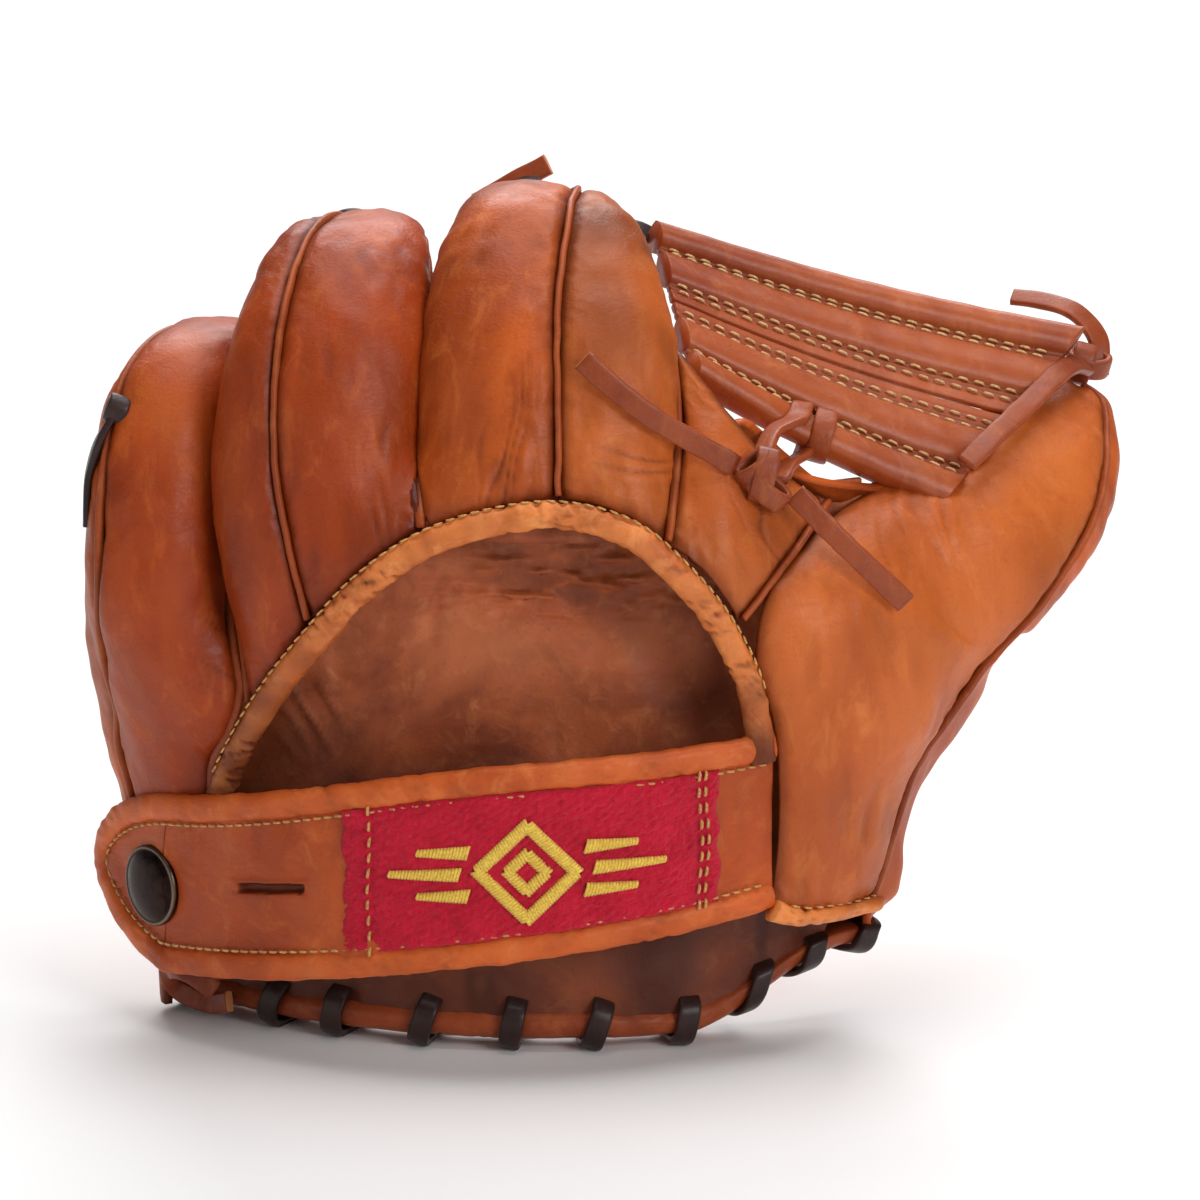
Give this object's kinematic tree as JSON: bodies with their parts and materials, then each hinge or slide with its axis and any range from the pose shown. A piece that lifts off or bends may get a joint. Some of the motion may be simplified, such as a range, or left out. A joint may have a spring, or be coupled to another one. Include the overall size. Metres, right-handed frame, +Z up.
{
  "type": "baseball glove",
  "caption": "Left-hand baseball glove with separate finger stalls, a laced two-panel web, a rolled back opening and a snap-fastened wrist strap.",
  "frame": {"origin": "on the standing plane, on the heel lace's loop under the middle of the palm", "axes": "+X towards the thumb side, +Y towards the pocket side, +Z up to the finger tips, standing on the heel"},
  "size_m": [0.302, 0.149, 0.2511],
  "materials": {
    "tan_leather": "worn, waxed saddle leather with a soft sheen",
    "rolled_binding": "thin rolled binding leather, puckered",
    "welting": "folded welting leather",
    "lining_leather": "dark, hand-polished lining leather",
    "lace_leather": "dark rawhide lace with pale cut ends",
    "felt_padding": "pressed wool felt",
    "label_felt": "crimson wool felt",
    "gold_thread": "golden yellow thread",
    "snap_bronze": "darkened bronze with a worn bright rim"
  },
  "bodies": {
    "hand": {"palm_shell": "tan_leather", "pinky_back": "tan_leather", "middle_back_outer": "tan_leather", "middle_back_inner": "tan_leather", "index_back_outer": "tan_leather", "index_back_inner": "tan_leather", "crotch_gusset": "tan_leather", "thumb_side_panel": "tan_leather", "web_upper_panel": "tan_leather", "web_lower_panel": "tan_leather", "opening_binding": "rolled_binding", "heel_binding": "rolled_binding", "pinky_welt_outer": "welting", "pinky_welt_inner": "welting", "middle_welt_outer": "welting", "middle_welt_inner": "welting", "middle_welt_centre": "welting", "index_welt_outer": "welting", "index_welt_inner": "welting", "index_welt_centre": "welting", "gusset_welt": "welting", "palm_lining": "lining_leather", "pinky_lining": "lining_leather", "middle_lining": "lining_leather", "index_lining": "lining_leather", "heel_lace": "lace_leather", "finger_tip_lace": "lace_leather", "pinky_lace": "lace_leather", "index_tip_lace": "lace_leather", "web_index_lace": "lace_leather", "web_base_knot": "lace_leather", "web_tail_upper": "lace_leather", "web_tail_lower": "lace_leather", "pinky_heel_pad": "felt_padding", "thumb_heel_pad": "felt_padding", "snap_stud": "snap_bronze", "snap_post": "snap_bronze"},
    "thumb": {"thumb_back": "tan_leather", "thumb_front": "tan_leather", "thumb_lining": "lining_leather", "thumb_welt_outer": "welting", "thumb_welt_inner": "welting", "thumb_tip_lace": "lace_leather"},
    "strap": {"strap_panel": "tan_leather", "strap_lining": "lining_leather", "strap_binding": "rolled_binding", "strap_label": "label_felt", "label_emblem": "gold_thread", "snap_cap": "snap_bronze", "snap_socket": "snap_bronze"}
  },
  "joints": [
    {"name": "thumb_fold", "type": "hinge", "parent": "hand", "child": "thumb", "pos_m": [0.088, 0.032, 0.06], "axis": [-0.205, 0.123, 0.971], "range_deg": [0, 25], "deforming": ["web_upper_panel", "web_lower_panel"]},
    {"name": "strap_swing", "type": "hinge", "parent": "hand", "child": "strap", "pos_m": [0.0506, -0.0256, 0.072], "axis": [0, 0, 1], "range_deg": [0, 100]}
  ]
}
